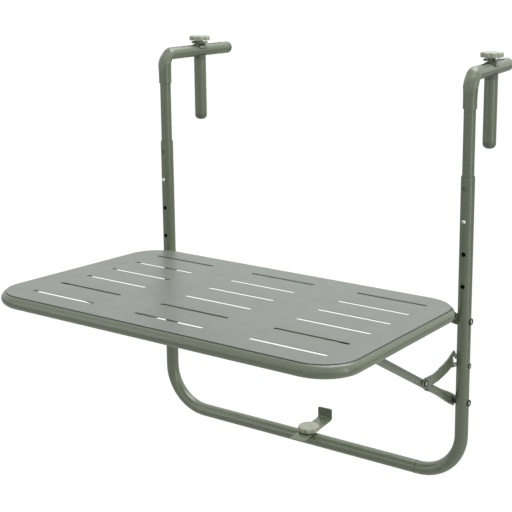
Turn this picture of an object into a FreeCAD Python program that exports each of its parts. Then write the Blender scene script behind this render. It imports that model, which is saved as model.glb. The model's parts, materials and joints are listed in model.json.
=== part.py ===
import FreeCAD, Part
import math
import os

os.makedirs("parts", exist_ok=True)
V = FreeCAD.Vector

# Folding bar table that hangs over a balcony rail. Units are millimetres, Z is up, the rail is at +Y.
# The origin lies midway between the hook arms, on the line through the leg axes.
# It is level with the arms' undersides.

# Table top, tilted a little about the line through the leg axes
table_level = -327.5
table_tilt = 3.4
table_width = 602.0
table_back = -23.8
table_front = -402.0
rim_d = 19.0
rim_wall = 1.2
rim_bend_r = 50.0
sheet_wall = 0.6
sheet_lap = 3.0
slit_length = 118.4
slit_width = 6.2
slit_pitch = 194.0
slit_shift = 4.5
slit_first = -75.2
slit_row_pitch = 56.0
slit_rows = 6
slit_columns = 3

# Frame tubes
tube_d = 21.0
tube_wall = 1.2
leg_inset = 16.5
leg_x = table_width / 2 - leg_inset
leg_top_z = -140.0
bar_drop = 127.1
frame_bend_r = 72.0
seam_after_bend = 3.5
seam_x = leg_x - frame_bend_r - seam_after_bend
seam_gap = 0.2
swage_length = 35.0
swage_clearance = 0.15

# Height adjustment
hole_d = 7.2
first_hole_drop = 17.5
first_hole_z = leg_top_z - first_hole_drop
hole_pitch = 50.0
hole_count = 4
button_hole_index = 1
inner_d = 18.0
inner_below_button = 25.0
inner_below_elbow = 4.5
button_d = 6.3
button_out = 2.6
button_round = 1.9
button_clearance = 0.15
leaf_room = 1.1
spring_strip = 0.8
spring_width = 6.0
spring_leg = 34.0

# Hook arms
toe_in = 3.6
elbow_r = 18.0
sleeve_bottom_z = -39.5
arm_length = 161.0
slot_width = 6.8
cap_clearance = 0.1
cap_plug_length = 14.0
cap_length = 10.0
cap_round = 6.5

# Clamps that slide along the hook arms
slot_after_elbow = 27.0
slot_before_cap = 20.0
clamp_near = elbow_r + slot_after_elbow
clamp_far = arm_length - slot_before_cap
clamp_travel_back = 45.0
clamp_reach = clamp_near + clamp_travel_back
slide_gap = 0.3
collar_bottom_z = -6.0
collar_top_z = 3.0
clamp_tube_length = 97.0
clamp_slot_spare = 0.6
saddle_tip_z = 15.2
saddle_wall = 1.6
saddle_length = 20.0
plate_wall = 1.2
plate_width = 20.0
lip_height = 2.2

# Knobs and their bolts
bolt_d = 6.0
bolt_clearance = 0.3
thread_clearance = 0.05
nut_height = 5.0
nut_flats = 10.0
bolt_below_nut = 4.0
nut_seat_gap = 0.1
knob_d = 36.0
knob_height = 7.8
knob_lobes = 9
lobe_cut_r = 4.6
lobe_depth = 2.4
knob_round = 2.0
bolt_in_knob = 4.7
hub_d = 12.0
clamp_hub_height = 3.9
bar_hub_height = 1.2
washer_gap = 0.3

# Table hinges
hinge_drop = 35.8
hinge_z = table_level - hinge_drop
bracket_wall = 2.5
bracket_gap = 0.8
bracket_end_r = 8.0
bracket_back = -33.0
bracket_front = -52.0
bracket_back_drop = 8.0
bracket_front_drop = 20.0
pin_d = 5.0
pin_clearance = 0.05
rivet_head_d = 10.0
rivet_head_height = 2.2
rivet_end_d = 8.0
rivet_end_height = 1.6
play = 0.3

# Folding support
support_d = 12.0
support_wall = 1.0
support_inset = 17.0
support_x = leg_x - support_inset
support_drop = 166.3
support_z = table_level - support_drop
support_slope = 31.0
support_reach = 343.3
support_bend_r = 36.0
end_wall = 4.2
end_width = 17.0
end_taper = 62.0
end_past = 8.0
end_ease = 0.04
end_straight = 0.06
end_join = 1.0
end_steps = 6
end_cavity_width = 13.0
end_cavity_wall = 1.8
end_cavity_depth = 6.0
spacer_d = 10.0

# Latch strips and the pins that they hook on
latch_pin_d = 4.0
latch_pin_drop = 106.5
latch_pin_z = table_level - latch_pin_drop
latch_pin_head_d = 8.0
latch_pin_head_height = 1.4
latch_pin_past_leg = 5.2
latch_reach = 132.0
latch_rivet_d = 4.0
latch_head_d = 9.0
strip_wall = 2.0
strip_width = 16.6
strip_gap = 0.9
strip_step = 5.5
step_start = 25.0
step_length = 32.0
hook_low_edge = [(-29.0, -6.4), (-15.0, -3.8), (-9.0, -3.8), (-5.6, -5.4), (0.0, -6.4), (9.6, -6.2)]
hook_jaw = [(10.8, -5.0), (9.6, -3.8), (0.0, -3.8)]
hook_notch = [(-3.4, -1.8), (-4.4, 3.0), (-7.2, 11.0), (-5.8, 13.2)]
hook_wedge = [(5.4, 4.0), (6.6, 4.6), (5.2, 12.0), (-2.4, 21.2), (-6.0, 21.0)]
hook_high_edge = [(-9.0, 20.4), (-24.0, 14.4), (-44.0, 11.0), (-62.0, 9.6)]
strip_low_at_step = -2.4
strip_high_at_step = 13.4
strip_low_at_end = -8.6
stop_reach = 108.6
stop_below = 3.2
stop_d = 9.0
stop_height = 0.5

# Steady strip on the bottom bar
steady_x = 5.2
steady_turn = 2.5
steady_width = 27.0
steady_wall = 1.5
steady_front = -40.0
steady_back = 58.0
steady_height = 20.2
steady_bend_r = 5.0
steady_corner_r = 3.0
steady_hole_d = 8.0
steady_hole_y = 27.0


def solid_rod(path, radius):
    first = path.Edges[0]
    start = first.valueAt(first.FirstParameter)
    heading = first.tangentAt(first.FirstParameter)
    circle = Part.Wire(Part.makeCircle(radius, start, heading))
    return path.makePipeShell([circle], True, True)


def tube(path, diameter, wall):
    return solid_rod(path, diameter / 2).cut(solid_rod(path, diameter / 2 - wall))


def bent_path(points, bend_r):
    edges = []
    last = points[0]
    for before, corner, after in zip(points, points[1:], points[2:]):
        back = (before - corner).normalize()
        ahead = (after - corner).normalize()
        half = back.getAngle(ahead) / 2
        inward = (back + ahead).normalize()
        start = corner + back * (bend_r / math.tan(half))
        end = corner + ahead * (bend_r / math.tan(half))
        middle = corner + inward * (bend_r / math.sin(half) - bend_r)
        edges.append(Part.makeLine(last, start))
        edges.append(Part.Arc(start, middle, end).toShape())
        last = end
    edges.append(Part.makeLine(last, points[-1]))
    return Part.Wire(edges)


def rod_x(radius, x0, x1, y, z):
    return Part.makeCylinder(radius, abs(x1 - x0), V(min(x0, x1), y, z), V(1, 0, 0))


def rod_z(radius, z0, z1, x, y):
    return Part.makeCylinder(radius, z1 - z0, V(x, y, z0), V(0, 0, 1))


def block(x0, x1, y0, y1, z0, z1):
    return Part.makeBox(x1 - x0, y1 - y0, z1 - z0, V(x0, y0, z0))


def slab(outline, x0, wall):
    corners = [V(x0, y, z) for y, z in outline]
    face = Part.Face(Part.makePolygon(corners + corners[:1]))
    return face.extrude(V(wall, 0, 0))


def mirrored(shape):
    return shape.mirror(V(0, 0, 0), V(1, 0, 0))


def both_sides(shape):
    return Part.makeCompound([shape, mirrored(shape)])


def edges_at(shape, axis, level):
    return [e for e in shape.Edges if abs(getattr(e.CenterOfMass, axis) - level) < 0.01]


def save(name, shape):
    shape.exportStep("parts/" + name + ".step")


def save_pair(name, right_shape):
    save(name + "_right", right_shape)
    save(name + "_left", mirrored(right_shape))


# Frame: one long bent tube, and a right leg whose narrowed end slips into it
tube_r = tube_d / 2
bar_z = support_z - bar_drop
tube_bore = tube_d - 2 * tube_wall
left_points = [V(-leg_x, 0, leg_top_z), V(-leg_x, 0, bar_z), V(seam_x - seam_gap / 2, 0, bar_z)]
right_points = [V(leg_x, 0, leg_top_z), V(leg_x, 0, bar_z), V(seam_x + seam_gap / 2, 0, bar_z)]
left_frame = tube(bent_path(left_points, frame_bend_r), tube_d, tube_wall)
right_frame = tube(bent_path(right_points, frame_bend_r), tube_d, tube_wall)

for index in range(hole_count):
    hole_z = first_hole_z - index * hole_pitch
    for x in (-leg_x, leg_x):
        drill = Part.makeCylinder(hole_d / 2, tube_r * 2, V(x, 0, hole_z), V(0, -1, 0))
        left_frame = left_frame.cut(drill)
        right_frame = right_frame.cut(drill)

for z, shank_d in ((hinge_z, pin_d), (latch_pin_z, latch_pin_d), (support_z, pin_d)):
    drill_r = shank_d / 2 + pin_clearance
    left_frame = left_frame.cut(rod_x(drill_r, -leg_x - tube_d, -leg_x + tube_d, 0, z))
    right_frame = right_frame.cut(rod_x(drill_r, leg_x - tube_d, leg_x + tube_d, 0, z))

bar_top_z = bar_z + tube_r
bolt_hole_r = bolt_d / 2 + bolt_clearance
left_frame = left_frame.cut(rod_z(bolt_hole_r, bar_z, bar_z + tube_d, steady_x, 0))
save("frame_long_tube", left_frame)

swage_x1 = seam_x + seam_gap / 2 + tube_wall
swage_path = Part.Wire([Part.makeLine(V(seam_x - swage_length, 0, bar_z), V(swage_x1, 0, bar_z))])
swage_d = tube_bore - 2 * swage_clearance
shoulder = rod_x(tube_r, swage_x1 - tube_wall, swage_x1, 0, bar_z)
shoulder = shoulder.cut(rod_x(swage_d / 2 - tube_wall, swage_x1 - tube_wall, swage_x1, 0, bar_z))
right_frame = right_frame.fuse(shoulder).fuse(tube(swage_path, swage_d, tube_wall)).removeSplitter()
save("frame_right_leg", right_frame)


# Rivets through the legs: a domed head outside, and a shank that crosses the leg and carries what is inside
def domed_head(head_d, height, x, y, z):
    dome_r = (head_d * head_d / 4 + height * height) / (2 * height)
    dome = Part.makeSphere(dome_r, V(x + height - dome_r, y, z))
    return rod_x(head_d / 2, x, x + height, y, z).common(dome)


def leg_rivet(z, inner_x, shank_d, head_d, head_height):
    outer_x = leg_x + tube_r
    shank = rod_x(shank_d / 2, inner_x, outer_x + head_height / 2, 0, z)
    return shank.fuse(domed_head(head_d, head_height, outer_x, 0, z))


def rivet_end(z, x):
    return rod_x(rivet_end_d / 2, x - rivet_end_height, x, 0, z)


leg_inner_x = leg_x - tube_r
bracket_x1 = leg_inner_x - bracket_gap
bracket_x0 = bracket_x1 - bracket_wall
support_face_x = support_x - end_wall / 2
hinge_end_x = bracket_x0 - play
hinge_rivet = leg_rivet(hinge_z, hinge_end_x, pin_d, rivet_head_d, rivet_head_height)
save("hinge_rivets", both_sides(hinge_rivet.fuse(rivet_end(hinge_z, hinge_end_x))))
support_end_x = support_face_x - play
support_rivet = leg_rivet(support_z, support_end_x, pin_d, rivet_head_d, rivet_head_height)
save("support_rivets", both_sides(support_rivet.fuse(rivet_end(support_z, support_end_x))))
latch_pin_x = leg_inner_x - latch_pin_past_leg
latch_pin = leg_rivet(latch_pin_z, latch_pin_x, latch_pin_d, latch_pin_head_d, latch_pin_head_height)
save("latch_pins", both_sides(latch_pin))

cross_drill_r = pin_d / 2 + pin_clearance
spacer_x0 = support_x + end_wall / 2 + play
spacer_body = rod_x(spacer_d / 2, spacer_x0, leg_inner_x, 0, support_z)
spacer_hole = rod_x(cross_drill_r, spacer_x0, leg_inner_x, 0, support_z)
save("support_spacers", both_sides(spacer_body.cut(spacer_hole)))

# Hook: a sleeve over the inner tube, a tight elbow and a level arm that toes inward.
# It is built along +Y on the Z axis, then turned and moved to the right leg.
arm_z = tube_r
hook_points = [V(0, 0, sleeve_bottom_z), V(0, 0, arm_z), V(0, arm_length, arm_z)]
hook = tube(bent_path(hook_points, elbow_r), tube_d, tube_wall)
slot_near = clamp_near - clamp_slot_spare
slot_far = clamp_far + clamp_slot_spare
slot_cut = block(-slot_width / 2, slot_width / 2, slot_near, slot_far, -1, tube_d + 1)
for slot_end in (slot_near, slot_far):
    slot_cut = slot_cut.fuse(rod_z(slot_width / 2, -1, tube_d + 1, 0, slot_end))
hook = hook.cut(slot_cut)


def on_arm(shape):
    turned = shape.copy()
    turned.rotate(V(0, 0, 0), V(0, 0, 1), toe_in)
    turned.translate(V(leg_x, 0, 0))
    return turned


save_pair("hook", on_arm(hook))

inner_r = inner_d / 2
button_z = first_hole_z - button_hole_index * hole_pitch
inner_bottom_z = button_z - inner_below_button
inner_top_z = arm_z - elbow_r - inner_below_elbow
inner_path = Part.Wire([Part.makeLine(V(leg_x, 0, inner_bottom_z), V(leg_x, 0, inner_top_z))])
inner = tube(inner_path, inner_d, tube_wall)
button_hole_r = button_d / 2 + button_clearance
inner = inner.cut(Part.makeCylinder(button_hole_r, inner_d, V(leg_x, 0, button_z), V(0, -1, 0)))
save_pair("inner_tube", inner)

# Snap button: a cup with a rounded face on a bent leaf inside the inner tube
button_face_y = -tube_r - button_out
leaf_front = -inner_r + tube_wall + leaf_room
button_back_y = leaf_front - button_clearance
button_length = button_back_y - button_face_y
button = Part.makeCylinder(button_d / 2, button_length, V(leg_x, button_back_y, button_z), V(0, -1, 0))
button = button.makeFillet(button_round, edges_at(button, "y", button_face_y))
save_pair("snap_button", button)

leaf_back = -leaf_front
leaf_half = spring_width / 2
leaf_side = block(-leaf_half, leaf_half, leaf_front, leaf_front + spring_strip, -button_d, spring_leg)
leaf_far = block(-leaf_half, leaf_half, leaf_back - spring_strip, leaf_back, -button_d, spring_leg)
bend_ring = rod_x(leaf_back, -leaf_half, leaf_half, 0, spring_leg)
bend_ring = bend_ring.cut(rod_x(leaf_back - spring_strip, -leaf_half, leaf_half, 0, spring_leg))
bend_top = block(-spring_width, spring_width, -inner_d, inner_d, spring_leg, spring_leg + inner_d)
leaf = leaf_side.fuse(leaf_far).fuse(bend_ring.common(bend_top))
leaf.translate(V(leg_x, 0, button_z))
save_pair("snap_spring", leaf)

# Cap in the end of the arm, with a domed face
plug_r = tube_bore / 2 - cap_clearance
cap_face_y = arm_length + cap_length
arm_cap = Part.makeCylinder(tube_r, cap_length, V(0, arm_length, arm_z), V(0, 1, 0))
arm_cap = arm_cap.makeFillet(cap_round, edges_at(arm_cap, "y", cap_face_y))
arm_plug = Part.makeCylinder(plug_r, cap_plug_length, V(0, arm_length - cap_plug_length, arm_z), V(0, 1, 0))
arm_cap = arm_cap.fuse(arm_plug)
save_pair("arm_cap", on_arm(arm_cap))

# Clamp: tube below the arm, collar shaped to the arm, cap, saddle and lipped plate above the arm
clamp_cap_z = collar_bottom_z - clamp_tube_length
clamp_path = Part.Wire([Part.makeLine(V(0, clamp_reach, clamp_cap_z), V(0, clamp_reach, collar_bottom_z))])
clamp_tube = tube(clamp_path, tube_d, tube_wall)
save_pair("clamp_tube", on_arm(clamp_tube))

arm_room_start = V(0, clamp_reach - tube_d, arm_z)
arm_room = Part.makeCylinder(tube_r + slide_gap, 2 * tube_d, arm_room_start, V(0, 1, 0))
collar = rod_z(tube_r, collar_bottom_z, collar_top_z, 0, clamp_reach)
collar = collar.fuse(rod_z(plug_r, collar_bottom_z - cap_plug_length, collar_bottom_z, 0, clamp_reach))
collar = collar.cut(arm_room)
nut_z = collar_bottom_z - cap_plug_length
bolt_run = rod_z(bolt_hole_r, nut_z - nut_height, tube_r, 0, clamp_reach)
collar = collar.cut(bolt_run)


def hexagon(across_flats, height, x, y, z):
    corner_r = across_flats / math.sqrt(3)
    turns = [math.radians(60 * k) for k in range(7)]
    corners = [V(x + corner_r * math.cos(turn), y + corner_r * math.sin(turn), z) for turn in turns]
    return Part.Face(Part.makePolygon(corners)).extrude(V(0, 0, height))


nut_pocket = hexagon(nut_flats + 2 * cap_clearance, nut_height, 0, clamp_reach, nut_z)
collar = collar.cut(nut_pocket)
save_pair("clamp_collar", on_arm(collar))

thread_r = bolt_d / 2
nut_hole = rod_z(thread_r + thread_clearance, nut_z, nut_z + nut_height, 0, clamp_reach)
clamp_nut = hexagon(nut_flats, nut_height, 0, clamp_reach, nut_z).cut(nut_hole)
save_pair("clamp_nut", on_arm(clamp_nut))

clamp_tip_z = clamp_cap_z - cap_length
clamp_cap = rod_z(tube_r, clamp_tip_z, clamp_cap_z, 0, clamp_reach)
clamp_cap = clamp_cap.makeFillet(cap_round, edges_at(clamp_cap, "z", clamp_tip_z))
clamp_cap = clamp_cap.fuse(rod_z(plug_r, clamp_cap_z, clamp_cap_z + cap_plug_length, 0, clamp_reach))
save_pair("clamp_cap", on_arm(clamp_cap))

saddle_r = tube_r + slide_gap + saddle_wall
saddle_y0 = clamp_reach - saddle_length / 2
saddle_y1 = clamp_reach + saddle_length / 2
saddle = Part.makeCylinder(saddle_r, saddle_length, V(0, saddle_y0, arm_z), V(0, 1, 0)).cut(arm_room)
saddle = saddle.common(block(-tube_d, tube_d, saddle_y0, saddle_y1, saddle_tip_z, 2 * tube_d))
clamp_hole = rod_z(bolt_hole_r, 0, 3 * tube_d, 0, clamp_reach)
save_pair("clamp_saddle", on_arm(saddle.cut(clamp_hole)))

plate_z = arm_z + saddle_r
plate_top_z = plate_z + plate_wall
plate_half = plate_width / 2
plate = block(-plate_half, plate_half, saddle_y0, saddle_y1, plate_z, plate_top_z)
for side in (-1, 1):
    lip_x = side * (plate_half - plate_wall / 2)
    lip_x0 = lip_x - plate_wall / 2
    lip_x1 = lip_x + plate_wall / 2
    plate = plate.fuse(block(lip_x0, lip_x1, saddle_y0, saddle_y1, plate_z, plate_top_z + lip_height))
save_pair("clamp_plate", on_arm(plate.cut(clamp_hole)))


# Lobed knob with a hub, turning about a vertical axis
def knob(x, y, hub_z, hub_height):
    knob_z = hub_z + hub_height
    top_z = knob_z + knob_height
    puck = rod_z(knob_d / 2, knob_z, top_z, x, y)
    puck = puck.makeFillet(knob_round, [e for e in puck.Edges if len(e.Vertexes) == 1])
    cut_centre = knob_d / 2 + lobe_cut_r - lobe_depth
    for k in range(knob_lobes):
        turn = 2 * math.pi * k / knob_lobes
        cut_x = x + cut_centre * math.cos(turn)
        cut_y = y + cut_centre * math.sin(turn)
        puck = puck.cut(rod_z(lobe_cut_r, knob_z - 1, top_z + 1, cut_x, cut_y))
    puck = puck.fuse(rod_z(hub_d / 2, hub_z, knob_z, x, y))
    return puck.cut(rod_z(thread_r, hub_z, knob_z + bolt_in_knob, x, y))


clamp_hub_z = plate_top_z + washer_gap
save_pair("clamp_knob", on_arm(knob(0, clamp_reach, clamp_hub_z, clamp_hub_height)))
bolt_top = clamp_hub_z + clamp_hub_height + bolt_in_knob
save_pair("clamp_bolt", on_arm(rod_z(thread_r, nut_z - bolt_below_nut, bolt_top, 0, clamp_reach)))

# Table top: a closed rim tube with a slit sheet on it
rim_r = rim_d / 2
rim_z = -sheet_wall - rim_r
rim_x = table_width / 2 - rim_r
rim_back = table_back - rim_r
rim_front = table_front + rim_r
half_rim = [V(0, rim_back, rim_z), V(rim_x, rim_back, rim_z),
            V(rim_x, rim_front, rim_z), V(0, rim_front, rim_z)]
right_rim = tube(bent_path(half_rim, rim_bend_r), rim_d, rim_wall)
rim = right_rim.fuse(mirrored(right_rim)).removeSplitter()
rim_core = solid_rod(bent_path(half_rim, rim_bend_r), rim_r)


def on_table(shape):
    tilted = shape.copy()
    tilted.rotate(V(0, 0, 0), V(1, 0, 0), -table_tilt)
    tilted.translate(V(0, 0, table_level))
    return tilted


save("table_rim", on_table(rim))

sheet_x = rim_x + sheet_lap
sheet = block(-sheet_x, sheet_x, rim_front - sheet_lap, rim_back + sheet_lap, -sheet_wall, 0)
upright_edges = [e for e in sheet.Edges if abs(e.tangentAt(e.FirstParameter).z) > 0.9]
sheet = sheet.makeFillet(rim_bend_r + sheet_lap, upright_edges)
for column in range(slit_columns):
    slit_x = slit_shift + (column - (slit_columns - 1) / 2) * slit_pitch
    for row in range(slit_rows):
        slit_y = slit_first - row * slit_row_pitch
        run = slit_length / 2 - slit_width / 2
        slit = block(slit_x - run, slit_x + run, slit_y - slit_width / 2, slit_y + slit_width / 2, -2, 1)
        for end_x in (slit_x - run, slit_x + run):
            slit = slit.fuse(rod_z(slit_width / 2, -2, 1, end_x, slit_y))
        sheet = sheet.cut(slit)
save("table_sheet", on_table(sheet))

# Hinge brackets: plates welded under the rim corners, each with an eye for the hinge rivet
def touch_point(y, z, side):
    reach = math.hypot(y, hinge_z - z)
    heading = math.atan2(hinge_z - z, -y) + side * math.asin(bracket_end_r / reach)
    run = math.sqrt(reach * reach - bracket_end_r * bracket_end_r)
    return (y + run * math.cos(heading), z + run * math.sin(heading))


bracket_low_z = table_level - bracket_front_drop
bracket_high_z = table_level - bracket_back_drop
bracket_outline = [(bracket_front, bracket_high_z), (bracket_front, bracket_low_z),
                   touch_point(bracket_front, bracket_low_z, -1), touch_point(bracket_back, bracket_high_z, 1),
                   (bracket_back, bracket_high_z)]
bracket = slab(bracket_outline, bracket_x0, bracket_wall)
bracket = bracket.fuse(rod_x(bracket_end_r, bracket_x0, bracket_x1, 0, hinge_z))
bracket = bracket.cut(rod_x(cross_drill_r, bracket_x0, bracket_x1, 0, hinge_z))
bracket = bracket.cut(on_table(rim_core))
bracket = max(bracket.Solids, key=lambda piece: piece.Volume)
save_pair("hinge_bracket", bracket)

# Support: one bent tube. It is built flat, pointing along -Y from its pivots, then tipped up
support_r = support_d / 2
round_width = support_d - end_ease
round_wall = round_width - end_straight


def oval(width, wall, y):
    straight = (width - wall) / 2
    side = wall / 2
    edges = [Part.makeLine(V(support_x + side, y, -straight), V(support_x + side, y, straight)),
             Part.Arc(V(support_x + side, y, straight), V(support_x, y, width / 2),
                      V(support_x - side, y, straight)).toShape(),
             Part.makeLine(V(support_x - side, y, straight), V(support_x - side, y, -straight)),
             Part.Arc(V(support_x - side, y, -straight), V(support_x, y, -width / 2),
                      V(support_x + side, y, -straight)).toShape()]
    return Part.Wire(edges)


end_round = -end_past - end_taper
end_ovals = [oval(round_width, round_wall, end_round - end_join)]
for step in range(end_steps + 1):
    share = (1 - math.cos(math.pi * step / end_steps)) / 2
    width = round_width + share * (end_width - round_width)
    wall = round_wall + share * (end_wall - round_wall)
    end_ovals.append(oval(width, wall, end_round + end_taper * step / end_steps))
end_ovals.append(oval(end_width, end_wall, end_past))
flat_end = Part.makeLoft(end_ovals, True, True)
end_cavity = block(support_x - end_cavity_wall / 2, support_x + end_cavity_wall / 2,
                   end_past - end_cavity_depth, end_past + 1, -end_cavity_width / 2, end_cavity_width / 2)
flat_end = flat_end.cut(end_cavity)
bow = [V(support_x, end_round, 0), V(support_x, -support_reach, 0),
       V(-support_x, -support_reach, 0), V(-support_x, end_round, 0)]
support = tube(bent_path(bow, support_bend_r), support_d, support_wall)
support = support.fuse(flat_end).fuse(mirrored(flat_end))
latch_hole_r = latch_rivet_d / 2 + pin_clearance
for x in (-support_x, support_x):
    support = support.cut(rod_x(cross_drill_r, x - support_d, x + support_d, 0, 0))
    support = support.cut(rod_x(latch_hole_r, x - support_d, x + support_d, -latch_reach, 0))


def on_support(shape):
    tipped = shape.copy()
    tipped.rotate(V(0, 0, 0), V(1, 0, 0), -support_slope)
    tipped.translate(V(0, 0, support_z))
    return tipped


save("support_frame", on_support(support))

# Stop studs: low round heads seated on the sides of the support, just under the latch strips
stop_outer_x = support_x + support_r + stop_height
arm_path = Part.Wire([Part.makeLine(V(support_x, end_round, 0), V(support_x, -latch_reach - latch_head_d, 0))])
arm_core = solid_rod(arm_path, support_r)
stop = rod_x(stop_d / 2, support_x, stop_outer_x, -stop_reach, -stop_below).cut(arm_core)
save("latch_stops", both_sides(on_support(stop)))

# Latch strips: each is riveted to the outside of the support, steps inwards and ends in a hook for the pin
latch_y = -latch_reach * math.cos(math.radians(support_slope))
latch_z = support_z + latch_reach * math.sin(math.radians(support_slope))
strip_half = strip_width / 2
strip_x0 = support_x + support_r + strip_gap
strip_x1 = strip_x0 + strip_wall
step_y = latch_y + step_start
step_end = step_y + step_length
pin_z = latch_pin_z

# The hook's outline is given from the pin. Its notch is open towards the leg, with the pin near its lower jaw
hook_edge = hook_low_edge + hook_jaw + hook_notch + hook_wedge + hook_high_edge
strip_outline = [(latch_y, latch_z - strip_half), (step_y, pin_z + strip_low_at_step),
                 (step_end, pin_z + strip_low_at_end)]
strip_outline += [(y, pin_z + z) for y, z in hook_edge]
strip_outline += [(step_y, pin_z + strip_high_at_step), (latch_y, latch_z + strip_half)]
strip_low_z = pin_z - 2 * strip_width
strip_front_y = latch_y - strip_width
hook_x0 = strip_x0 - strip_step
hook_x1 = strip_x1 - strip_step
strip_profile = [V(strip_x0, strip_front_y, strip_low_z), V(strip_x1, strip_front_y, strip_low_z),
                 V(strip_x1, step_y, strip_low_z), V(hook_x1, step_end, strip_low_z),
                 V(hook_x1, strip_width, strip_low_z), V(hook_x0, strip_width, strip_low_z),
                 V(hook_x0, step_end, strip_low_z), V(strip_x0, step_y, strip_low_z)]
strip_bends = Part.Face(Part.makePolygon(strip_profile + strip_profile[:1]))
strip_bends = strip_bends.extrude(V(0, 0, 4 * strip_width))
strip_blank = slab(strip_outline, hook_x0, strip_x1 - hook_x0)
strip_blank = strip_blank.fuse(rod_x(strip_half, strip_x0, strip_x1, latch_y, latch_z))
latch_strip = strip_blank.common(strip_bends)
latch_strip = latch_strip.cut(rod_x(latch_hole_r, strip_x0 - 1, strip_x1 + 1, latch_y, latch_z))
save_pair("latch_strip", latch_strip)

latch_head_x = strip_x1 + play
latch_back_x = support_x - support_r - rivet_end_height
latch_rivet = rod_x(latch_rivet_d / 2, latch_back_x, latch_head_x, latch_y, latch_z)
latch_rivet = latch_rivet.fuse(domed_head(latch_head_d, rivet_end_height, latch_head_x, latch_y, latch_z))
latch_shoulder = rod_x(latch_head_d / 2, support_x, strip_x0 - play, latch_y, latch_z)
latch_back = rod_x(latch_head_d / 2, latch_back_x, support_x, latch_y, latch_z)
latch_rivet = latch_rivet.fuse(latch_shoulder.fuse(latch_back).cut(on_support(arm_core)))
save("latch_rivets", both_sides(latch_rivet))

# Steady strip: a flat strip across the bottom bar with its rear end turned up against the railing
steady_z = bar_top_z + play
steady_half = steady_width / 2
steady = block(-steady_half, steady_half, steady_front, steady_back, steady_z, steady_z + steady_wall)
steady_top_z = steady_z + steady_height
steady_tab = block(-steady_half, steady_half, steady_back - steady_wall, steady_back, steady_z, steady_top_z)
steady = steady.fuse(steady_tab)


def level_edges(shape, y, z):
    return [e for e in edges_at(shape, "y", y) if abs(e.CenterOfMass.z - z) < 0.01]


steady = steady.removeSplitter()
steady = steady.makeFillet(steady_bend_r - steady_wall,
                           level_edges(steady, steady_back - steady_wall, steady_z + steady_wall))
steady = steady.makeFillet(steady_bend_r, level_edges(steady, steady_back, steady_z))
side_edges = edges_at(steady, "x", steady_half) + edges_at(steady, "x", -steady_half)
corner_edges = [e for e in side_edges if e.CenterOfMass.y < steady_front + 0.01
                or e.CenterOfMass.z > steady_top_z - 0.01]
steady = steady.makeFillet(steady_corner_r, corner_edges)
steady = steady.cut(rod_z(bolt_hole_r, steady_z - 1, steady_z + tube_d, 0, 0))
steady = steady.cut(rod_z(steady_hole_d / 2, steady_z - 1, steady_z + steady_wall + 1, 0, steady_hole_y))
steady.rotate(V(0, 0, 0), V(0, 0, 1), steady_turn)
steady.translate(V(steady_x, 0, 0))
save("steady_strip", steady)

bar_hub_z = steady_z + steady_wall + play
save("bar_knob", knob(steady_x, 0, bar_hub_z, bar_hub_height))
# The bar's nut sits inside the tube, its long edges against the upper wall
bar_nut_top = bar_z + math.sqrt((tube_bore / 2) ** 2 - (nut_flats / 2) ** 2) - nut_seat_gap
bar_nut_z = bar_nut_top - nut_height
bar_bolt_top = bar_hub_z + bar_hub_height + bolt_in_knob
save("bar_bolt", rod_z(thread_r, bar_nut_z - bolt_below_nut, bar_bolt_top, steady_x, 0))
bar_nut_hole = rod_z(thread_r + thread_clearance, bar_nut_z, bar_nut_z + nut_height, steady_x, 0)
save("bar_nut", hexagon(nut_flats, nut_height, steady_x, 0, bar_nut_z).cut(bar_nut_hole))
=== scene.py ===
import json
import math

import bmesh
import bpy
from mathutils import Matrix, Vector


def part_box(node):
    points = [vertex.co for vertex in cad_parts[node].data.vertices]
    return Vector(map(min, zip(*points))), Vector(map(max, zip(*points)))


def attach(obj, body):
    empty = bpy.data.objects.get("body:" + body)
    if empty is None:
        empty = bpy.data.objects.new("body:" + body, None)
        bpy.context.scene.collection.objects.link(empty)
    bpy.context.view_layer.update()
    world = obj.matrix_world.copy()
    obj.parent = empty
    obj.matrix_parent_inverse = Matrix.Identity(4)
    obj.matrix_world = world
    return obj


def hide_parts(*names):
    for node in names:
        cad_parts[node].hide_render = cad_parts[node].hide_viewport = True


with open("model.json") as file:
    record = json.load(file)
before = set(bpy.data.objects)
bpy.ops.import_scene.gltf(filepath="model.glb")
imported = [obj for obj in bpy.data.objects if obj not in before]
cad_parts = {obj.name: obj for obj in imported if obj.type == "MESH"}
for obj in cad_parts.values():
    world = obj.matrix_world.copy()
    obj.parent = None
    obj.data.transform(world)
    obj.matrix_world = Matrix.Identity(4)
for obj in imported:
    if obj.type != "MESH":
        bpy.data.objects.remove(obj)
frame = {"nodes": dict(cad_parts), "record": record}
nodes = frame["nodes"]
record = frame["record"]
slots = {part["node"]: part["material_slot"] for part in record["subparts"]}
colours = {m["slot"]: m["base_color"][:3] for m in record["materials"]}
bodies = record["behaviour"]["bodies"]
body_of = {node: body for body, names in bodies.items() for node in names}
joints = {joint["name"]: joint for joint in record["behaviour"]["joints"]}
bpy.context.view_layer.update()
mm = 0.001
full_turn = 2 * math.pi
quarter_turn = math.pi / 2


def circle(count):
    return [full_turn * k / count for k in range(count)]


def quarter(steps):
    return [quarter_turn * k / steps for k in range(steps + 1)]


# Materials: faint clouds in the colour, a painted highlight that makes the rounded sharp edges
# paler, and a fine grain
noise_low = 0.3
noise_high = 0.7
grain_depth = 0.2 * mm


def new_material(name, colour, roughness, metallic=0.0, specular=0.5):
    material = bpy.data.materials.new(name)
    material.use_nodes = True
    tree = material.node_tree
    shader = tree.nodes["Principled BSDF"]
    shader.inputs["Base Color"].default_value = (*colour, 1.0)
    shader.inputs["Roughness"].default_value = roughness
    shader.inputs["Metallic"].default_value = metallic
    shader.inputs["Specular IOR Level"].default_value = specular
    return material, tree, shader


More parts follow.
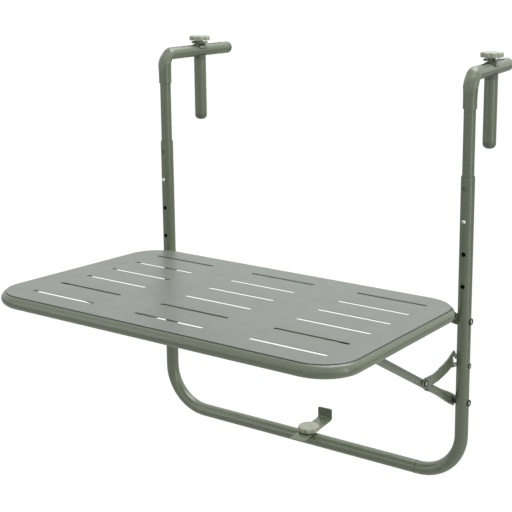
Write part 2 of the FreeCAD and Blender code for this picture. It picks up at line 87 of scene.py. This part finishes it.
def noise(tree, scale, detail=4.0):
    coords = tree.nodes.new("ShaderNodeTexCoord")
    texture = tree.nodes.new("ShaderNodeTexNoise")
    texture.inputs["Scale"].default_value = scale
    texture.inputs["Detail"].default_value = detail
    tree.links.new(coords.outputs["Object"], texture.inputs["Vector"])
    return texture.outputs["Fac"]


def spread(tree, value, low, high):
    ramp = tree.nodes.new("ShaderNodeMapRange")
    ramp.inputs["From Min"].default_value = noise_low
    ramp.inputs["From Max"].default_value = noise_high
    ramp.inputs["To Min"].default_value = low
    ramp.inputs["To Max"].default_value = high
    tree.links.new(value, ramp.inputs["Value"])
    return ramp.outputs["Result"]


def scaled(colour, factor):
    return tuple(min(1.0, c * factor) for c in colour)


def tinted(colour, factors):
    return tuple(c * f for c, f in zip(colour, factors))


def blended(tree, factor, first, second):
    mix = tree.nodes.new("ShaderNodeMix")
    mix.data_type = "RGBA"
    for socket, colour in ((mix.inputs["A"], first), (mix.inputs["B"], second)):
        if isinstance(colour, tuple):
            socket.default_value = (*colour, 1.0)
        else:
            tree.links.new(colour, socket)
    tree.links.new(factor, mix.inputs["Factor"])
    return mix.outputs["Result"]


def clouded(tree, colour, scale, darker, lighter):
    clouds = spread(tree, noise(tree, scale), 0.0, 1.0)
    return blended(tree, clouds, scaled(colour, darker), scaled(colour, lighter))


def painted_edge_highlight(tree, surface, highlight_colour):
    # Painted highlight: faces marked "edge" are blended towards a paler colour, standing in for
    # light catching the edges
    edge = tree.nodes.new("ShaderNodeAttribute")
    edge.attribute_name = "edge"
    return blended(tree, edge.outputs["Fac"], surface, highlight_colour)


def grain(tree, shader, scale, detail, strength):
    node = tree.nodes.new("ShaderNodeBump")
    node.inputs["Strength"].default_value = strength
    node.inputs["Distance"].default_value = grain_depth
    tree.links.new(noise(tree, scale, detail), node.inputs["Height"])
    tree.links.new(node.outputs["Normal"], shader.inputs["Normal"])


def powder_coat(name, colour, roughness):
    material, tree, shader = new_material(name, colour, roughness, specular=0.95)
    surface = clouded(tree, colour, scale=9.0, darker=0.95, lighter=1.05)
    specks = spread(tree, noise(tree, scale=620.0, detail=2.0), 0.0, 0.35)
    surface = blended(tree, specks, surface, scaled(colour, 1.10))
    # Painted highlight on the rounded edges
    surface = painted_edge_highlight(tree, surface, scaled(colour, 1.35))
    tree.links.new(surface, shader.inputs["Base Color"])
    rough = spread(tree, noise(tree, scale=40.0), roughness - 0.03, roughness + 0.04)
    tree.links.new(rough, shader.inputs["Roughness"])
    grain(tree, shader, scale=900.0, detail=2.0, strength=0.05)
    return material


def plastic(name, colour, roughness):
    material, tree, shader = new_material(name, colour, roughness)
    surface = clouded(tree, colour, scale=60.0, darker=0.94, lighter=1.06)
    # Painted highlight on the rounded edges
    surface = painted_edge_highlight(tree, surface, scaled(colour, 1.12))
    tree.links.new(surface, shader.inputs["Base Color"])
    grain(tree, shader, scale=1500.0, detail=3.0, strength=0.05)
    return material


def bare_metal(name, colour, roughness):
    material, tree, shader = new_material(name, colour, roughness, metallic=1.0)
    surface = clouded(tree, colour, scale=250.0, darker=0.85, lighter=1.08)
    tree.links.new(surface, shader.inputs["Base Color"])
    rough = spread(tree, noise(tree, scale=500.0), roughness - 0.06, roughness + 0.1)
    tree.links.new(rough, shader.inputs["Roughness"])
    grain(tree, shader, scale=700.0, detail=3.0, strength=0.08)
    return material


# Each slot's kind of finish, its tint over the record's colour, and its roughness
untinted = (1.0, 1.0, 1.0)
recipes = {
    "frame_paint": (powder_coat, (1.08, 1.16, 0.93), 0.28),
    "top_paint": (powder_coat, (1.02, 1.01, 1.08), 0.36),
    "zinc_steel": (bare_metal, (1.4, 1.4, 1.4), 0.3),
    "spring_steel": (bare_metal, untinted, 0.3),
    "button_chrome": (bare_metal, untinted, 0.2),
    "cap_plastic": (plastic, untinted, 0.42),
    "knob_plastic": (plastic, (1.48, 1.50, 1.36), 0.5),
    "black_plastic": (plastic, untinted, 0.6),
}
finishes = {slot: finish(slot, tinted(colours[slot], factors), roughness)
            for slot, (finish, factors, roughness) in recipes.items()}
for name, node in nodes.items():
    node.data.materials.clear()
    node.data.materials.append(finishes[slots[name]])


# Pieces
sharp_angle = math.radians(32)


def add_piece(name, shape, body, slot, replaced=()):
    bmesh.ops.recalc_face_normals(shape, faces=shape.faces)
    for face in shape.faces:
        face.smooth = True
    for edge in shape.edges:
        if len(edge.link_faces) == 2 and edge.calc_face_angle() > sharp_angle:
            edge.smooth = False
    mesh = bpy.data.meshes.new(name)
    shape.to_mesh(mesh)
    shape.free()
    piece = bpy.data.objects.new(name, mesh)
    bpy.context.scene.collection.objects.link(piece)
    mesh.materials.append(finishes[slot])
    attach(piece, body)
    if replaced:
        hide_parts(*replaced)
    return piece


def ring_faces(shape, first, second):
    count = len(first)
    for k in range(count):
        after = (k + 1) % count
        shape.faces.new((first[k], first[after], second[after], second[k]))


def loft(shape, rings, closed=False):
    for first, second in zip(rings, rings[1:] + rings[:1] if closed else rings[1:]):
        ring_faces(shape, first, second)


# Rolled and ground edges: the node's own shape with its sharp edges rounded a little, and the
# rounded faces marked for a painted edge highlight
weld_gap = 0.002 * mm
flat_angle = math.radians(0.5)
edge_segments = 2
soft_edges = {
    "clamp_saddle_left": 0.3 * mm,
    "clamp_saddle_right": 0.3 * mm,
    "clamp_plate_left": 0.25 * mm,
    "clamp_plate_right": 0.25 * mm,
    "latch_strip_left": 0.35 * mm,
    "latch_strip_right": 0.35 * mm,
    "steady_strip": 0.4 * mm,
    "hinge_bracket_left": 0.4 * mm,
    "hinge_bracket_right": 0.4 * mm,
}


def soften(node, width):
    shape = bmesh.new()
    shape.from_mesh(nodes[node].data)
    bmesh.ops.remove_doubles(shape, verts=shape.verts, dist=weld_gap)
    bmesh.ops.dissolve_limit(shape, angle_limit=flat_angle, verts=shape.verts, edges=shape.edges)
    edges = [e for e in shape.edges
             if len(e.link_faces) == 2 and e.calc_face_angle() > sharp_angle]
    # Mark the rounded faces for the painted edge highlight
    highlight_marks = shape.faces.layers.float.new("edge")
    made = bmesh.ops.bevel(shape, geom=edges, offset=width, segments=edge_segments, profile=0.5,
                           affect="EDGES", clamp_overlap=True)
    for face in made["faces"]:
        face[highlight_marks] = 1.0
    add_piece(node + "_finished", shape, body_of[node], slots[node], (node,))


for node, width in soft_edges.items():
    soften(node, width)


# Hook: a sleeve, a tight elbow that was crushed in bending, and a level arm with two slots.
# It is made in the plane x = 0 with its leg on the z axis, then turned and set on the leg.
hook_low, hook_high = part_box("hook_right")
inner_low, inner_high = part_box("inner_tube_right")
slide = joints["clamp_slide_right"]
toe_in = math.atan2(-slide["axis"][0], slide["axis"][1])
tube_r = hook_high[2] / 2
tube_wall = 1.2 * mm
leg_x = (inner_low[0] + inner_high[0]) / 2
arm_end = (hook_high[1] - tube_r * math.sin(toe_in)) / math.cos(toe_in)
sleeve_low = hook_low[2]
elbow_r = 18 * mm
edge_round = 0.4 * mm
hook_segments = 144
sleeve_steps = 16
elbow_steps = 32
arm_steps = 30

# The crush fades out along the sleeve and the arm. It sinks the crown of the elbow between
# two ridges, and swells the flanks.
crush_below = 35 * mm
crush_ahead = 13 * mm
crown_drop = 2.8 * mm
ridge_height = 0.7 * mm
ridge_spread = math.radians(14)
ridge_power_below = 1.8
ridge_power_ahead = 0.7
swell_out = 0.17
swell_in = 0.05
corner_gap = elbow_r - tube_r


# Centre (y, z), outward direction, distance along the tube from mid-elbow, and bend so far
def hook_stations():
    arc = elbow_r * math.pi / 2
    arc_start = tube_r - elbow_r
    stations = []
    for k in range(sleeve_steps):
        z = sleeve_low + (arc_start - sleeve_low) * k / sleeve_steps
        stations.append(((0.0, z), (-1.0, 0.0), z - arc_start - arc / 2, 0.0))
    for k, turn in enumerate(quarter(elbow_steps)):
        heading = (-math.cos(turn), math.sin(turn))
        centre = (elbow_r + elbow_r * heading[0], arc_start + elbow_r * heading[1])
        stations.append((centre, heading, arc * (k / elbow_steps - 0.5), turn))
    for k in range(1, arm_steps + 1):
        y = elbow_r + (arm_end - elbow_r) * k / arm_steps
        stations.append(((y, tube_r), (0.0, 1.0), y - elbow_r + arc / 2, quarter_turn))
    return stations


def hook_point(radius, turn, along, bend):
    reach = crush_below if along < 0 else crush_ahead
    near = max(0.0, 1 - abs(along) / reach)
    share = near * near * (3 - 2 * near)
    side = abs((turn + math.pi) % full_turn - math.pi)
    ridge = math.pi * near ** (ridge_power_below if along < 0 else ridge_power_ahead)
    raised = ridge_height * math.sqrt(max(0.0, math.sin(ridge))) * share
    raised *= math.exp(-abs(side - ridge) / ridge_spread)
    out = (radius + raised) * math.cos(turn)
    across = (radius + raised) * math.sin(turn)
    across *= 1 + (swell_out if across > 0 else swell_in) * share
    if side < ridge:
        out -= crown_drop * share * (math.cos(side) - math.cos(ridge)) / 2
    if 0 < bend < quarter_turn:
        straight = corner_gap / max(math.cos(bend), math.sin(bend))
        out += (straight - corner_gap) * max(0.0, -math.cos(turn)) ** 2
    return out, across


def hook_ring(shape, station, radius):
    (y, z), heading, along, bend = station
    ring = []
    for turn in circle(hook_segments):
        out, across = hook_point(radius, turn, along, bend)
        ring.append(shape.verts.new((across, y + heading[0] * out, z + heading[1] * out)))
    return ring


def hook_shape():
    shape = bmesh.new()
    stations = hook_stations()
    first, last = stations[0], stations[-1]
    above_first = ((first[0][0], first[0][1] + edge_round), *first[1:])
    before_last = ((last[0][0] - edge_round, last[0][1]), *last[1:])
    rounded_r = tube_r - edge_round
    outer = [hook_ring(shape, first, rounded_r), hook_ring(shape, above_first, tube_r)]
    outer += [hook_ring(shape, station, tube_r) for station in stations[1:-1]]
    outer += [hook_ring(shape, before_last, tube_r), hook_ring(shape, last, rounded_r)]
    inner = [hook_ring(shape, station, tube_r - tube_wall) for station in stations]
    loft(shape, outer)
    loft(shape, inner)
    ring_faces(shape, inner[0], outer[0])
    ring_faces(shape, outer[-1], inner[-1])
    bmesh.ops.recalc_face_normals(shape, faces=shape.faces)
    return shape


# The arm's slots reach as far as the clamp's bolt and tube travel
clamp_x, clamp_y = joints["clamp_knob_turn_right"]["pos_m"][:2]
clamp_reach = math.hypot(clamp_x - leg_x, clamp_y)
slot_play = 0.6 * mm
slot_near = clamp_reach + slide["range_m"][0] - slot_play
slot_far = clamp_reach + slide["range_m"][1] + slot_play
slot_half = 3.4 * mm
slot_steps = 16
cutter_low = -30 * mm
cutter_high = 60 * mm


def slot_cutter():
    shape = bmesh.new()
    outline = []
    for centre, start in ((slot_far, 0.0), (slot_near, math.pi)):
        for k in range(slot_steps + 1):
            turn = start + math.pi * k / slot_steps
            outline.append((slot_half * math.cos(turn), centre + slot_half * math.sin(turn)))
    low = [shape.verts.new((x, y, cutter_low)) for x, y in outline]
    high = [shape.verts.new((x, y, cutter_high)) for x, y in outline]
    ring_faces(shape, low, high)
    shape.faces.new(low[::-1])
    shape.faces.new(high)
    bmesh.ops.recalc_face_normals(shape, faces=shape.faces)
    return shape


def carved(shape, cutter_shape):
    made = []
    for name, source in (("carved", shape), ("cutter", cutter_shape)):
        mesh = bpy.data.meshes.new(name)
        source.to_mesh(mesh)
        source.free()
        made.append(bpy.data.objects.new(name, mesh))
        bpy.context.scene.collection.objects.link(made[-1])
    cut = made[0].modifiers.new("cut", "BOOLEAN")
    cut.operation = "DIFFERENCE"
    cut.solver = "EXACT"
    cut.object = made[1]
    graph = bpy.context.evaluated_depsgraph_get()
    result = bmesh.new()
    result.from_mesh(made[0].evaluated_get(graph).to_mesh())
    for thing in made:
        mesh = thing.data
        bpy.data.objects.remove(thing)
        bpy.data.meshes.remove(mesh)
    return result


onto_arm = Matrix.Translation((leg_x, 0, 0)) @ Matrix.Rotation(toe_in, 4, "Z")
mirror = Matrix.Scale(-1, 4, (1, 0, 0))
places = (("right", onto_arm), ("left", mirror @ onto_arm))
for side, place in places:
    hook = carved(hook_shape(), slot_cutter())
    bmesh.ops.transform(hook, matrix=place, verts=hook.verts)
    add_piece("hook_shell_" + side, hook, "hook_arm_" + side, "frame_paint", ("hook_" + side,))


# Domed end caps of the arms and of the hanging tubes, with a fine joint line at the tube
cap_joint = 0.35 * mm
cap_skirt = 1.2 * mm
cap_segments = 64
dome_steps = 16
dome_fullness = 0.72
dome_rise = 0.95
plug_r = tube_r - tube_wall - 0.1 * mm
arm_cap_length = 10 * mm
arm_plug_length = 13 * mm


def cap_shape(length, plug_length):
    shape = bmesh.new()
    profile = [(plug_r, -plug_length), (plug_r, 0.0),
               (tube_r - cap_joint, 0.0), (tube_r, cap_joint)]
    for turn in quarter(dome_steps)[:-1]:
        profile.append((tube_r * math.cos(turn) ** dome_fullness,
                        cap_skirt + (length - cap_skirt) * math.sin(turn) ** dome_rise))
    rings = []
    for radius, z in profile:
        rings.append([shape.verts.new((radius * math.cos(turn), radius * math.sin(turn), z))
                      for turn in circle(cap_segments)])
    loft(shape, rings)
    tip = shape.verts.new((0.0, 0.0, length))
    top_ring = rings[-1]
    for k in range(cap_segments):
        shape.faces.new((top_ring[k], top_ring[(k + 1) % cap_segments], tip))
    shape.faces.new(rings[0][::-1])
    return shape


def add_cap(name, cap, place, body, replaced):
    bmesh.ops.transform(cap, matrix=place, verts=cap.verts)
    add_piece(name, cap, body, "cap_plastic", (replaced,))


clamp_low, clamp_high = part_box("clamp_cap_right")
tube_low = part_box("clamp_tube_right")[0][2]
level_cap = Matrix.Translation((0, arm_end, tube_r)) @ Matrix.Rotation(-quarter_turn, 4, "X")
hanging_cap = Matrix.Translation((0, clamp_reach, tube_low)) @ Matrix.Rotation(math.pi, 4, "X")
for side, place in places:
    add_cap("arm_dome_" + side, cap_shape(arm_cap_length, arm_plug_length),
            place @ level_cap, "hook_arm_" + side, "arm_cap_" + side)
    add_cap("clamp_dome_" + side, cap_shape(tube_low - clamp_low[2], clamp_high[2] - tube_low),
            place @ hanging_cap, body_of["clamp_cap_" + side], "clamp_cap_" + side)


# Knob: nine lobes that run out into a round, softly edged top, and a hub below
lobes = 9
lobe_steps = 20
lobe_cut_r = 4.6 * mm
lobe_depth = 1.7 * mm
knob_r = 18 * mm
knob_height = 7.8 * mm
knob_lower_round = 1.2 * mm
knob_upper_round = 2.0 * mm
lower_steps = 4
upper_steps = 8
crown_r = 17.2 * mm
crown_shares = (0.8, 0.5, 0.2)
hub_r = 6 * mm
hub_chamfer = 0.5 * mm
bolt_r = 3 * mm


def lobed_radius(turn):
    period = full_turn / lobes
    off = (turn + period / 2) % period - period / 2
    centre = knob_r + lobe_cut_r - lobe_depth
    sideways = centre * math.sin(off)
    if abs(sideways) >= lobe_cut_r:
        return knob_r
    return min(knob_r, centre * math.cos(off) - math.sqrt(lobe_cut_r ** 2 - sideways ** 2))


# Each level: a radius, or what is added to the lobed outline, then its height, and how far
# the lobes have run out into the round crown
def knob_levels(hub_height):
    low, high = hub_height, hub_height + knob_height
    levels = [(bolt_r, 0.0, None), (hub_r - hub_chamfer, 0.0, None),
              (hub_r, hub_chamfer, None), (hub_r, low, None)]
    for turn in quarter(lower_steps):
        levels.append((-knob_lower_round * (1 - math.sin(turn)),
                       low + knob_lower_round * (1 - math.cos(turn)), 0.0))
    for k, turn in enumerate(quarter(upper_steps)):
        levels.append((-knob_upper_round * (1 - math.cos(turn)),
                       high - knob_upper_round * (1 - math.sin(turn)), k / upper_steps))
    return levels + [(crown_r * share, high, None) for share in crown_shares]


def knob_shape(hub_height, bore_depth):
    shape = bmesh.new()
    turns = circle(lobes * lobe_steps)
    rings = []
    for radius, z, crown in knob_levels(hub_height):
        ring = []
        for turn in turns:
            at = radius
            if crown is not None:
                at += lobed_radius(turn) * (1 - crown) + crown_r * crown
            ring.append(shape.verts.new((at * math.cos(turn), at * math.sin(turn), z)))
        rings.append(ring)
    loft(shape, rings)
    shape.faces.new(rings[-1])
    bore = [shape.verts.new((bolt_r * math.cos(turn), bolt_r * math.sin(turn), bore_depth))
            for turn in turns]
    ring_faces(shape, rings[0], bore)
    shape.faces.new(bore)
    return shape


for node, joint, bolt, turn in (
        ("clamp_knob_right", "clamp_knob_turn_right", "clamp_bolt_right", toe_in),
        ("clamp_knob_left", "clamp_knob_turn_left", "clamp_bolt_left", math.pi - toe_in),
        ("bar_knob", "bar_knob_turn", "bar_bolt", 0.0)):
    low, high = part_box(node)
    x, y = joints[joint]["pos_m"][:2]
    knob = knob_shape(high[2] - low[2] - knob_height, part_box(bolt)[1][2] - low[2])
    turned = Matrix.Translation((x, y, low[2])) @ Matrix.Rotation(turn, 4, "Z")
    bmesh.ops.transform(knob, matrix=turned, verts=knob.verts)
    add_piece(node + "_lobed", knob, body_of[node], "knob_plastic", (node,))


# Painted shade: dark rings round the shining centres of the rivets and pins, standing in for the
# shadow in the recess around each head
shade_ring_width = 1.1 * mm
shade_ring_segments = 40
shade_ring_shoulder = 0.5 * mm
shoulder_height = 0.7
rivet_centre_r = 4.1 * mm
pin_centre_r = 3.1 * mm
latch_centre_r = 3.8 * mm
sunk = 0.6 * mm
proud = 0.12 * mm


def add_shade_ring(shape, base, y, z, centre_r, tall, facing):
    outer_r = centre_r + shade_ring_width
    profile = ((centre_r, 0.0), (outer_r, 0.0), (outer_r, tall * shoulder_height),
               (outer_r - shade_ring_shoulder, tall), (centre_r, tall))
    rings = []
    for radius, x in profile:
        ring = []
        for turn in circle(shade_ring_segments):
            ring.append(shape.verts.new((facing * (base + x), y + radius * math.cos(turn),
                                         z + radius * math.sin(turn))))
        rings.append(ring)
    loft(shape, rings, closed=True)


pin_low, pin_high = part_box("latch_pins")
head_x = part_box("hinge_rivets")[1][0]
leg_shade_rings = (
    (joints["table_fold"]["pos_m"][2], rivet_centre_r, head_x),
    ((pin_low[2] + pin_high[2]) / 2, pin_centre_r, pin_high[0]),
    (joints["support_fold"]["pos_m"][2], rivet_centre_r, head_x),
)
shade_ring_base = leg_x + tube_r - sunk
shade_rings = bmesh.new()
for facing in (-1, 1):
    for z, centre_r, head in leg_shade_rings:
        add_shade_ring(shade_rings, shade_ring_base, 0.0, z, centre_r, head + proud - shade_ring_base, facing)
# Dark rings of painted shade round each rivet and pin head on the legs
add_piece("rivet_shade_rings", shade_rings, "frame", "black_plastic")

latch_y, latch_z = joints["latch_lift_right"]["pos_m"][1:]
strip_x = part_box("latch_strip_right")[1][0]
rivet_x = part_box("latch_rivets")[1][0]
shade_rings = bmesh.new()
for facing in (-1, 1):
    add_shade_ring(shade_rings, strip_x, latch_y, latch_z, latch_centre_r, rivet_x + proud - strip_x,
               facing)
# A dark ring of painted shade round the latch rivet's head
add_piece("latch_shade_rings", shade_rings, "support", "black_plastic")


# The dark joint line where the right leg's bend slips into the long tube
tube_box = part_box("frame_long_tube")
seam_x = tube_box[1][0]
bar_z = tube_box[0][2] + tube_r
seam_half = 0.35 * mm
seam_sunk = 0.2 * mm
seam_proud = 0.12 * mm
seam_segments = 72
seam = bmesh.new()
rings = []
for x, radius in ((-seam_half, tube_r - seam_sunk), (-seam_half, tube_r + seam_proud),
                  (seam_half, tube_r + seam_proud), (seam_half, tube_r - seam_sunk)):
    rings.append([seam.verts.new((seam_x + x, radius * math.cos(turn),
                                  bar_z + radius * math.sin(turn)))
                  for turn in circle(seam_segments)])
loft(seam, rings, closed=True)
add_piece("frame_seam", seam, "frame", "black_plastic")


# Painted shade: a dark bead under the sheet's edge stands in for the shadow in the gap between
# the sheet and the rim. The table's own plane is the sheet's upper face, which crosses y = 0 at
# the table's level.
table_level = -327.5 * mm
sheet_mesh = nodes["table_sheet"].data
sheet_normal = max(sheet_mesh.polygons, key=lambda face: face.area).normal
tilt = math.atan2(abs(sheet_normal.y), abs(sheet_normal.z))
onto_table = Matrix.Translation((0, 0, table_level)) @ Matrix.Rotation(-tilt, 4, "X")
off_table = onto_table.inverted()
flat_points = [off_table @ v.co for v in sheet_mesh.vertices]
sheet_x = max(p.x for p in flat_points)
sheet_back = max(p.y for p in flat_points)
sheet_front = min(p.y for p in flat_points)
sheet_wall = max(p.z for p in flat_points) - min(p.z for p in flat_points)
sheet_corner = 53 * mm
shade_bead_r = 0.45 * mm
shade_bead_out = 0.15 * mm
shade_bead_drop = sheet_wall + shade_bead_r * 0.75
corner_steps = 24
shade_bead_segments = 8


def shade_bead_shape():
    shape = bmesh.new()
    inner_x = sheet_x - sheet_corner
    inner_back = sheet_back - sheet_corner
    inner_front = sheet_front + sheet_corner
    centres = ((inner_x, inner_back), (-inner_x, inner_back),
               (-inner_x, inner_front), (inner_x, inner_front))
    rings = []
    for number, (x, y) in enumerate(centres):
        for k in range(corner_steps + 1):
            turn = quarter_turn * (number + k / corner_steps)
            ring = []
            for around in circle(shade_bead_segments):
                reach = sheet_corner + shade_bead_out + shade_bead_r * math.cos(around)
                point = Vector((x + reach * math.cos(turn), y + reach * math.sin(turn),
                                shade_bead_r * math.sin(around) - shade_bead_drop))
                ring.append(shape.verts.new(onto_table @ point))
            rings.append(ring)
    loft(shape, rings, closed=True)
    return shape


# A dark bead of painted shade along the gap under the sheet's edge
add_piece("sheet_edge_shade", shade_bead_shape(), "table", "black_plastic")


# Camera at the photograph's angle
image_px = 512
focal_px = 1088.361
centre_px = (346.190, 155.782)
camera_at = Vector((0.921888, -1.448318, 0.191099))
yaw = math.radians(30.290)
pitch = math.radians(10.846)
roll = math.radians(0.279)
sensor_mm = 36.0
camera_data = bpy.data.cameras.new("camera")
camera = bpy.data.objects.new("camera", camera_data)
bpy.context.scene.collection.objects.link(camera)
camera_data.sensor_fit = "HORIZONTAL"
camera_data.sensor_width = sensor_mm
camera_data.lens = focal_px * sensor_mm / image_px
camera_data.shift_x = (image_px / 2 - centre_px[0]) / image_px
camera_data.shift_y = (centre_px[1] - image_px / 2) / image_px
camera_data.clip_start = 50 * mm
ahead = Vector((-math.sin(yaw) * math.cos(pitch), math.cos(yaw) * math.cos(pitch),
                -math.sin(pitch)))
level = Vector((math.cos(yaw), math.sin(yaw), 0.0))
above = level.cross(ahead)
right = math.cos(roll) * level + math.sin(roll) * above
top = math.cos(roll) * above - math.sin(roll) * level
camera.matrix_world = Matrix((
    (right.x, top.x, -ahead.x, camera_at.x),
    (right.y, top.y, -ahead.y, camera_at.y),
    (right.z, top.z, -ahead.z, camera_at.z),
    (0.0, 0.0, 0.0, 1.0)))
bpy.context.scene.camera = camera
bpy.context.scene.view_settings.view_transform = "Standard"


# Whether a ray is of one of these kinds, from the Light Path node
def any_ray(tree, first_kind, *other_kinds):
    rays = tree.nodes.new("ShaderNodeLightPath")
    seen = rays.outputs[first_kind]
    for kind in other_kinds:
        larger = tree.nodes.new("ShaderNodeMath")
        larger.operation = "MAXIMUM"
        tree.links.new(seen, larger.inputs[0])
        tree.links.new(rays.outputs[kind], larger.inputs[1])
        seen = larger.outputs["Value"]
    return seen


def pick_shader(tree, factor, usual, picked, target):
    mixed = tree.nodes.new("ShaderNodeMixShader")
    tree.links.new(factor, mixed.inputs["Fac"])
    tree.links.new(usual, mixed.inputs[1])
    tree.links.new(picked, mixed.inputs[2])
    tree.links.new(mixed.outputs["Shader"], target)


def grey(value):
    return (value, value, value, 1.0)


# Floor: it keeps the shadow, and is white to the camera and through glass
floor_z = -1.05
floor_half = 12.0
floor_albedo = 0.82
floor_roughness = 0.9
seen_albedo = 0.2
seen_glow = 0.94
floor_mesh = bpy.data.meshes.new("floor")
floor_mesh.from_pydata([(x * floor_half, y * floor_half, floor_z)
                        for x, y in ((-1, -1), (1, -1), (1, 1), (-1, 1))], [], [(0, 1, 2, 3)])
floor = bpy.data.objects.new("floor", floor_mesh)
bpy.context.scene.collection.objects.link(floor)

floor_material, tree, shader = new_material("floor", grey(floor_albedo)[:3], floor_roughness)
seen_floor = tree.nodes.new("ShaderNodeBsdfDiffuse")
seen_floor.inputs["Color"].default_value = grey(seen_albedo)
emission = tree.nodes.new("ShaderNodeEmission")
emission.inputs["Color"].default_value = grey(1.0)
emission.inputs["Strength"].default_value = seen_glow
added = tree.nodes.new("ShaderNodeAddShader")
tree.links.new(seen_floor.outputs["BSDF"], added.inputs[0])
tree.links.new(emission.outputs["Emission"], added.inputs[1])
pick_shader(tree, any_ray(tree, "Is Camera Ray", "Is Transmission Ray"), shader.outputs["BSDF"],
            added.outputs["Shader"], tree.nodes["Material Output"].inputs["Surface"])
floor_mesh.materials.append(floor_material)


# Surroundings: white to the camera, in reflections and through glass, and dimmer as a light
world_strength = 0.39
world = bpy.data.worlds.new("studio")
bpy.context.scene.world = world
world.use_nodes = True
tree = world.node_tree
background = tree.nodes["Background"]
background.inputs["Color"].default_value = grey(1.0)
background.inputs["Strength"].default_value = world_strength
white = tree.nodes.new("ShaderNodeBackground")
white.inputs["Color"].default_value = grey(1.0)
white.inputs["Strength"].default_value = 1.0
pick_shader(tree, any_ray(tree, "Is Camera Ray", "Is Transmission Ray", "Is Glossy Ray"),
            background.outputs["Background"], white.outputs["Background"],
            tree.nodes["World Output"].inputs["Surface"])


# Softboxes: place in metres, width and height in metres, and power in watts
lamp_target = Vector((0.0, -0.12, -0.3))


def softbox(name, at, size, watts):
    light = bpy.data.lights.new(name, "AREA")
    light.shape = "RECTANGLE"
    light.size, light.size_y = size
    light.energy = watts
    lamp = bpy.data.objects.new(name, light)
    bpy.context.scene.collection.objects.link(lamp)
    lamp.location = at
    lamp.rotation_euler = (lamp_target - Vector(at)).to_track_quat("-Z", "Y").to_euler()


softbox("top_box", (0.25, 0.55, 1.5), (1.5, 1.5), 27.0)
softbox("right_strip", (2.2, -0.27, -0.15), (0.2, 2.0), 6.0)
softbox("right_front_strip", (2.1, -0.85, -0.1), (0.25, 2.0), 1.2)
softbox("front_left_strip", (-1.5, -2.0, 0.0), (0.7, 1.6), 2.6)
